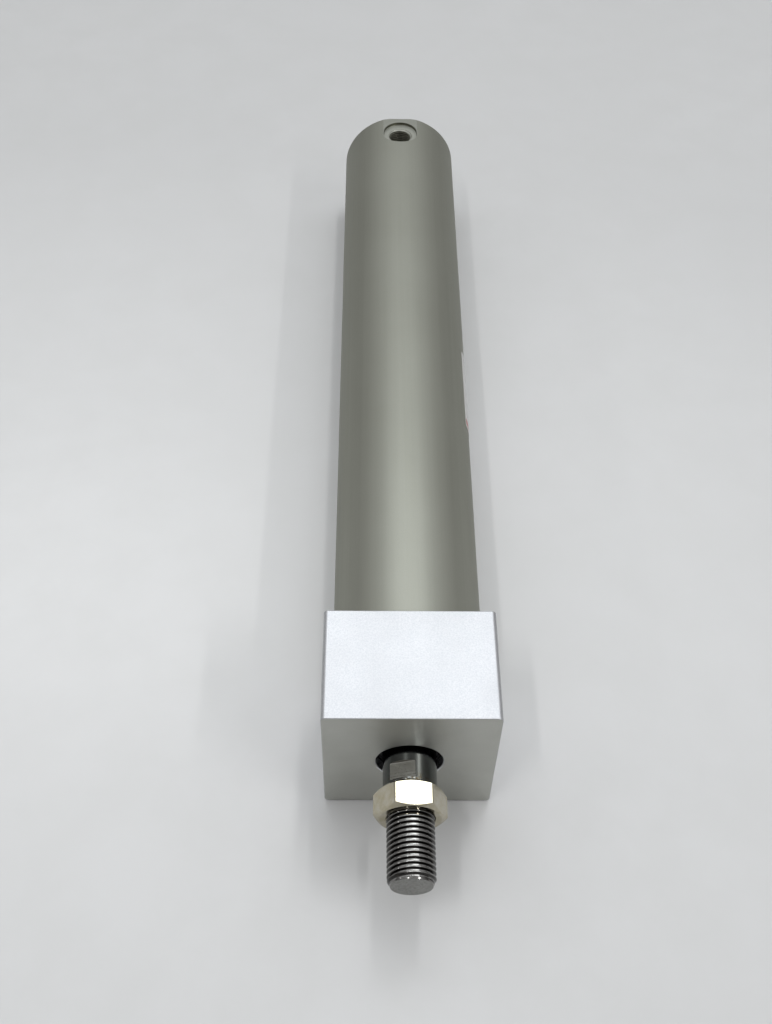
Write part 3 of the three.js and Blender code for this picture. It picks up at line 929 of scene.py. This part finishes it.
bm = bmesh.new()
front = rounded([(0, ROD_TIP), (6.05, ROD_TIP, 0.12), (6.12, ROD_TIP + 0.16)], 4)[:-1]
lathe(bm, [*front, (6.10, ROD_TIP + 0.16)], open_ends=True)
thread(
    bm, ROD_TIP + 0.16, -10.9, 1.5, 6.10, 7.0,
    limit=[(ROD_TIP + 0.16, 6.10), (ROD_TIP + 0.5, 6.22), (ROD_TIP + 1.6, 7.02), (-12.2, 7.02), (-10.9, 6.10)],
)
lathe(
    bm,
    [
        (6.10, -10.9),
        *rounded([(6.10, -10.7), (6.10, -9.7, 0.3), (7.6, -9.7, 0.1), (8.0, -9.3, 0.2), (8.0, -6)], 4)[1:-1],
        *[(8.0, y) for y in (-6.0, -2.0, 2.0, 10.0, 30.0, 60.0, 90.0, 120.0, 150.0, 180.0, 210.0, 235.0)],
        *rounded([(8.0, 240), (8.0, 249.3, 0.3), (5.0, 249.3, 0.3), (5.0, 255)], 4)[1:-1],
        (5.0, 262.0), (5.0, 275.4), (4.25, 276.2),
    ],
    open_ends=True,
)
thread(
    bm, 276.2, ROD_TAIL - 0.2, 1.25, 4.25, 5.0,
    limit=[(276.2, 4.25), (277.2, 5.02), (ROD_TAIL - 1.1, 5.02), (ROD_TAIL - 0.2, 4.25)],
)
lathe(bm, [(4.25, ROD_TAIL - 0.2), (4.15, ROD_TAIL - 0.05), (4.05, ROD_TAIL), (0, ROD_TAIL)], open_ends=True)
rod = obj_from("piston_rod_fine", bm)
FLAT_TURN = 19.0
for side in (0, 180):
    bm = bmesh.new()
    bmesh.ops.create_cube(bm, size=1.0)
    bm.transform(
        Matrix.Rotation(math.radians(side - FLAT_TURN), 4, "Y")
        @ Matrix.Translation((0, -6.0, 12.0))
        @ Matrix.Diagonal((30, 5.4, 10, 1))
    )
    bm.normal_update()
    bmesh.ops.bevel(
        bm, geom=[e for e in bm.edges], offset=0.35, segments=3, affect="EDGES", profile=0.5
    )
    boolean(rod, obj_from("flat_cutter", bm))
finished(rod, 28)
weighted(rod)
M_ROD = chromed_rod()
dress(rod, "rod", "piston_rod", "chromed_rod", M_ROD, milled_flat(), rod_thread(), rod_end(), rod_thread(0.0043, 0.005, "stud_thread"))


def rod_rule(c, n):
    out = math.hypot(c.x, c.z)
    if c.y < ROD_TIP + 0.1 or c.y > ROD_TAIL - 0.1 or (abs(n.y) > 0.8 and (-10 < c.y < -9.4 or 249 < c.y < 249.5)):
        return 3
    if c.y < -10.2:
        return 2
    if c.y > 276:
        return 4
    if -9.0 < c.y < -3.0 and out < 7.97:
        return 1
    return 0


paint(rod, rod_rule)

# ---------------------------------------------------------------------- nuts


def hex_nut(name, af, y0, y1, pitch, root, crest, start=0.0, segs=FINE, turn=0.0):
    corner, soft = af / math.sqrt(3), 0.9
    outline = []
    for k in range(6):
        at = (af / 2 - soft) / math.cos(math.pi / 6)
        for j in range(6):
            a = math.pi * k / 3 + math.radians(-30 + 12 * j)
            x = at * math.cos(math.pi * k / 3) + soft * math.cos(a)
            z = at * math.sin(math.pi * k / 3) + soft * math.sin(a)
            c, t = math.cos(turn), math.sin(turn)
            outline.append((c * x - t * z, t * x + c * z))
    bm = bmesh.new()
    rows = [[bm.verts.new((x, y, z)) for x, z in outline] for y in (y0 - 1, y1 + 1)]
    for a, b in zip(rows, rows[1:]):
        for i in range(len(a)):
            j = (i + 1) % len(a)
            bm.faces.new((a[i], a[j], b[j], b[i]))
    bm.faces.new(rows[0])
    bm.faces.new(rows[-1][::-1])
    o = obj_from(name, bm)
    bm = bmesh.new()
    face_r = af * 0.475
    rise = (corner + 0.6 - face_r) * math.tan(math.radians(30))
    lathe(bm, [(0, y0), (face_r, y0), (corner + 0.6, y0 + rise), (corner + 0.6, y1 - rise), (face_r, y1), (0, y1)], 144)
    boolean(o, obj_from("chamfer", bm), "INTERSECT")
    bm = bmesh.new()
    k = 0.06
    mouth = crest + 0.35
    thread(
        bm, y0 - 0.4, y1 + 0.4, pitch, root + k, crest + k,
        floor=[(y0 - 0.4, mouth), (y0, mouth), (y0 + mouth - root, root), (y1 - mouth + root, root), (y1, mouth), (y1 + 0.4, mouth)],
        segs=segs, start=start,
    )
    boolean(o, obj_from("tap", bm))
    bevelled(o, 0.10, 20, 2)
    return weighted(finished(o, 30))


# The thread's start on the rod is ROD_TIP + 0.16; the nut's follows the same helix.
rod_nut = hex_nut("rod_end_nut_fine", 19, NUT_0, NUT_1, 1.5, 6.10, 7.0, start=((ROD_TIP + 0.16) - (NUT_0 - 0.4)) / 1.5, turn=math.radians(-4.7))
dress(rod_nut, "rod", "rod_end_nut", "nickel_nut", nickel_nut())
stud_nut = hex_nut("piston_nut_fine", 17, 276.7, 281.7, 1.25, 4.25, 5.0, start=(276.2 - 276.3) / 1.25, segs=64)
dress(stud_nut, "rod", "piston_nut", "inner_steel", M_STEEL)

# --------------------------------------------------------------------- rings


def turned(name, body, slot, mat, profile, n=4, segs=FINE):
    bm = bmesh.new()
    lathe(bm, rounded(profile, n), segs)
    o = finished(obj_from(name + "_fine", bm), 35)
    return dress(o, body, name, slot, mat)


def box_ring(r0, r1, y0, y1, e=0.25):
    return [(r0, y0, e), (r1, y0, e), (r1, y1, e), (r0, y1, e)]


def o_ring(name, body, r_mid, r_sec, y):
    bm = bmesh.new()
    lathe(bm, [(r_mid + r_sec * math.cos(2 * math.pi * k / 24), y + r_sec * math.sin(2 * math.pi * k / 24)) for k in range(24)])
    return dress(finished(obj_from(name + "_fine", bm), 60), body, name, "seal_rubber", M_RUBBER)


turned("rod_wiper", "barrel", "seal_rubber", M_RUBBER, [
    (8.12, 3.7, 0.08), (8.6, 3.85, 0.15), (9.5, 4.5, 0.2), (9.6, 3.9, 0.15), (11.75, 3.9, 0.2),
    (11.75, 7.2, 0.2), (9.0, 7.2, 0.2), (8.7, 6.0, 0.2), (8.35, 4.6, 0.1),
], 5)
turned("rod_seal", "barrel", "seal_rubber", M_RUBBER, [
    (8.25, 7.5, 0.3), (11.7, 7.5, 0.3), (11.8, 11.9, 0.15), (10.9, 11.9, 0.15), (10.1, 9.3, 0.25),
    (9.2, 11.9, 0.15), (8.15, 11.9, 0.15),
], 5)
turned("seal_retainer", "barrel", "inner_steel", M_STEEL, box_ring(8.35, 11.7, 12.2, 13.7, 0.2))
turned("rod_bushing", "barrel", "bearing_bronze", bronze(), box_ring(8.12, 11.8, 14.1, 24.0, 0.5))
o_ring("tube_gasket", "barrel", 20.28, 0.95, 44.3)
turned("front_bumper", "barrel", "seal_rubber", M_RUBBER, box_ring(13, 19.6, 46.9, 49.3, 0.5))
turned("rear_bumper", "barrel", "seal_rubber", M_RUBBER, box_ring(12.6, 19.6, 274.9, 277.4, 0.5))
turned("piston_seal", "piston_rings", "seal_rubber", M_RUBBER, [
    (15.5, 252.9, 0.3), (19.0, 252.9, 0.2), (19.8, 253.5, 0.3), (19.2, 255.0, 0.5), (19.8, 256.5, 0.3),
    (19.0, 257.1, 0.2), (15.5, 257.1, 0.3),
], 6)
turned("wear_ring", "piston_rings", "wear_plastic", plastic("wear_plastic", (0.07, 0.065, 0.06)), box_ring(17.85, 19.8, 267.7, 272.3, 0.3))
turned("piston", "rod", "piston_aluminium", turned_aluminium(), [
    (5.2, 249.6, 0.2), (19.1, 249.6, 0.3), (19.7, 250.2, 0.3),
    (19.7, 252.6, 0.15), (15.2, 252.6, 0.3), (15.2, 257.4, 0.3), (19.7, 257.4, 0.15),
    (19.7, 260.2, 0.15), (15.2, 260.2, 0.3), (15.2, 265.8, 0.3), (19.7, 265.8, 0.15),
    (19.7, 267.4, 0.15), (17.6, 267.4, 0.2), (17.6, 272.6, 0.2), (19.7, 272.6, 0.15),
    (19.7, 274.0, 0.3), (19.1, 274.6, 0.3), (5.2, 274.6, 0.2),
    (5.2, 255.8, 0.1), (7.3, 255.8, 0.3), (7.3, 253.0, 0.3), (5.2, 253.0, 0.1),
], 4)
turned("piston_magnet", "rod", "magnet_plastic", plastic("magnet_plastic", (0.035, 0.035, 0.04)), box_ring(15.5, 19.4, 260.5, 265.5, 0.3))
o_ring("piston_gasket", "rod", 6.22, 0.9, 254.4)
turned("piston_washer", "rod", "inner_steel", M_STEEL, box_ring(5.25, 9.5, 274.9, 276.4, 0.2))

bm = bmesh.new()
lathe(bm, rounded(box_ring(10.2, 12.6, 24.4, 25.4, 0.15), 3))
clip = obj_from("retaining_ring_fine", bm)
bm = bmesh.new()
bmesh.ops.create_cube(bm, size=1.0)
bm.transform(Matrix.Translation((0, 24.9, -11.5)) @ Matrix.Diagonal((7, 6, 6, 1)))
boolean(clip, obj_from("gap", bm))
for sx in (-1, 1):
    bm = bmesh.new()
    lathe(bm, [(0, 22), (0.75, 22), (0.75, 28), (0, 28)], 32)
    boolean(clip, obj_from("plier_hole", bm, Matrix.Translation((sx * 5.0, 0, -10.4))))
finished(clip)
dress(clip, "barrel", "retaining_ring", "inner_steel", M_STEEL)

# --------------------------------------------------------------------- label

bm = bmesh.new()
r_in, r_out = TUBE_R + 0.012, TUBE_R + 0.11
corner = 1.2
nu, nv = 56, 48
lo_a, hi_a = math.radians(LABEL_LOW) * TUBE_R, math.radians(LABEL_HIGH) * TUBE_R
edge_u = [0] + [corner * (1 - math.cos(math.pi / 2 * k / 6)) for k in range(1, 7)]
us = sorted(set([round(lo_a + e, 5) for e in edge_u] + [round(hi_a - e, 5) for e in edge_u]
                + [round(lo_a + corner + (hi_a - lo_a - 2 * corner) * k / nu, 5) for k in range(nu + 1)]))
grid = []
for u in us:
    e = min(u - lo_a, hi_a - u)
    cut = corner - math.sqrt(max(0, corner ** 2 - (corner - e) ** 2)) if e < corner else 0
    a0, a1 = LABEL_0 + cut, LABEL_1 - cut
    grid.append([(u / TUBE_R, a0 + (a1 - a0) * k / nv) for k in range(nv + 1)])
inner = [[bm.verts.new((r_in * math.cos(a), y, r_in * math.sin(a))) for a, y in row] for row in grid]
outer = [[bm.verts.new((r_out * math.cos(a), y, r_out * math.sin(a))) for a, y in row] for row in grid]
n_row, n_col = len(grid), nv + 1
for i in range(n_row - 1):
    for k in range(nv):
        bm.faces.new((outer[i][k], outer[i][k + 1], outer[i + 1][k + 1], outer[i + 1][k]))
        bm.faces.new((inner[i][k], inner[i + 1][k], inner[i + 1][k + 1], inner[i][k + 1]))
for i in range(n_row - 1):
    for k in (0, nv):
        bm.faces.new((inner[i][k], outer[i][k], outer[i + 1][k], inner[i + 1][k]))
for k in range(nv):
    for i in (0, n_row - 1):
        bm.faces.new((inner[i][k], inner[i][k + 1], outer[i][k + 1], outer[i][k]))
label = finished(obj_from("id_label_fine", bm), 40)
dress(label, "barrel", "id_label", "label_film", label_film())

# --------------------------------------------------------------------- stage
# The part lies on its cover's rear bottom edge and on the barrel's rear end,
# so the floor tilts by half a degree against the frame.

drop = (half - TUBE_R) / 1000
run = (BODY_END - COVER_L) / 1000
tilt = math.atan2(drop, run)
bm = bmesh.new()
bmesh.ops.create_circle(bm, cap_ends=True, radius=6.0, segments=96)
me = bpy.data.meshes.new("stage_floor")
bm.to_mesh(me)
bm.free()
floor = bpy.data.objects.new("stage_floor", me)
scene.collection.objects.link(floor)
floor.rotation_euler = (tilt, 0, 0)
floor.location = (0, Y0 + COVER_L / 1000, -0.00005)
floor.data.materials.append(floor_paper())

# A softly lit room: brightest high up behind the object, dim low down and
# behind the camera.
world = bpy.data.worlds.new("studio")
scene.world = world
world.use_nodes = True
wt = world.node_tree
wt.nodes.clear()
w_out, w_bg = wt.nodes.new("ShaderNodeOutputWorld"), wt.nodes.new("ShaderNodeBackground")
w_tc, w_dot, w_map, w_ramp = (
    wt.nodes.new("ShaderNode" + k) for k in ("TexCoord", "VectorMath", "MapRange", "ValToRGB")
)
w_dot.operation = "DOT_PRODUCT"
BRIGHT_EL = math.radians(68)
w_dot.inputs[1].default_value = (0, math.cos(BRIGHT_EL), math.sin(BRIGHT_EL))
w_wide, w_unit = wt.nodes.new("ShaderNodeVectorMath"), wt.nodes.new("ShaderNodeVectorMath")
w_wide.operation, w_unit.operation = "MULTIPLY", "NORMALIZE"
w_wide.inputs[1].default_value = (0.42, 1, 1)
wt.links.new(w_tc.outputs["Generated"], w_wide.inputs[0])
wt.links.new(w_wide.outputs[0], w_unit.inputs[0])
wt.links.new(w_unit.outputs[0], w_dot.inputs[0])
wt.links.new(w_dot.outputs["Value"], w_map.inputs[0])
w_map.inputs[1].default_value, w_map.inputs[2].default_value = -1, 1
wt.links.new(w_map.outputs[0], w_ramp.inputs[0])
SKY = [(-1, 0.20), (0, 0.245), (0.3, 0.285), (0.55, 0.375), (0.72, 0.53), (0.85, 0.74), (0.93, 0.89), (0.98, 1.02), (1, 1.08)]
e = w_ramp.color_ramp.elements
while len(e) < len(SKY):
    e.new(0.5)
for el, (t, v) in zip(e, SKY):
    cool = min(max((v - 0.45) / 0.5, 0), 1)
    el.position = (t + 1) / 2
    el.color = (v / 2 * (1 - 0.05 * cool), v / 2 * (1 - 0.02 * cool), v / 2, 1)
wt.links.new(w_ramp.outputs[0], w_bg.inputs[0])
w_bg.inputs[1].default_value = 2.0
wt.links.new(w_bg.outputs[0], w_out.inputs[0])


def lamp(name, at, size, watts, colour=(1, 1, 1), target=(0, 0.08, 0.02)):
    data = bpy.data.lights.new(name, "AREA")
    data.shape, data.size, data.size_y = "RECTANGLE", size[0], size[1]
    data.energy, data.color = watts, colour
    o = bpy.data.objects.new(name, data)
    scene.collection.objects.link(o)
    o.location = at
    o.rotation_mode = "QUATERNION"
    o.rotation_quaternion = (Vector(target) - Vector(at)).to_track_quat("-Z", "Y")
    return o


lamp("soft_back", (0.04, 0.95, 1.60), (1.25, 0.45), 4.6, (0.93, 0.97, 1.0))
for side, x in (("left", -0.70), ("right", 0.78)):
    lamp("soft_back_" + side, (x, 0.95, 1.60), (0.23, 0.45), 0.80, (0.93, 0.97, 1.0)).visible_diffuse = False
# Ceiling strips, all lying parallel to the cylinder's axis.
strip = lamp("strip_back", (0.25, 0.60, 1.62), (0.95, 0.10), 4.2, target=(0.1, 0.60, 0))
strip.visible_glossy = False
lamp("strip_right", (1.12, -0.72, 1.43), (1.00, 0.06), 5.4, target=(0, -0.72, 0.02))
lamp("glint_right", (1.12, -0.72, 1.46), (1.00, 0.06), 8.0, target=(0, -0.72, 0.02)).visible_diffuse = False
lamp("strip_left", (-0.54, -0.52, 1.65), (0.60, 0.06), 4.3, target=(0, -0.52, 0.02))
lamp("strip_low", (-1.45, 0.10, 0.92), (0.70, 0.03), 0.9, target=(0, 0.10, 0.02))

# A soft light kept to the bright metal of the rod end.
rod_lit = bpy.data.collections.new("rod_lit")
for o in (rod, rod_nut):
    rod_lit.objects.link(o)
lamp("rod_light", (0.23, 0.90, 1.60), (1.98, 0.60), 12.0, (0.95, 0.98, 1.0)).light_linking.receiver_collection = rod_lit

# -------------------------------------------------------------------- camera

camera = bpy.data.cameras.new("camera")
cam = bpy.data.objects.new("camera", camera)
scene.collection.objects.link(cam)
camera.sensor_width, camera.sensor_fit = 36.0, "AUTO"
camera.lens = 1211.54 / 1024 * 36
camera.clip_start, camera.clip_end = 0.01, 30
yaw, pitch, roll = math.radians(1.3014), math.radians(51.2406), math.radians(1.3699)
look = Vector((math.sin(yaw) * math.cos(pitch), math.cos(yaw) * math.cos(pitch), -math.sin(pitch)))
right = Vector((math.cos(yaw), -math.sin(yaw), 0))
up = right.cross(look)
r2 = math.cos(roll) * right + math.sin(roll) * up
u2 = -math.sin(roll) * right + math.cos(roll) * up
cam.matrix_world = Matrix.Translation((-0.01251, Y0 - 0.16669, 0.35152)) @ Matrix((r2, u2, -look)).transposed().to_4x4()
camera.dof.use_dof = False
scene.camera = cam

scene.view_settings.view_transform = "Standard"
scene.view_settings.look = "None"
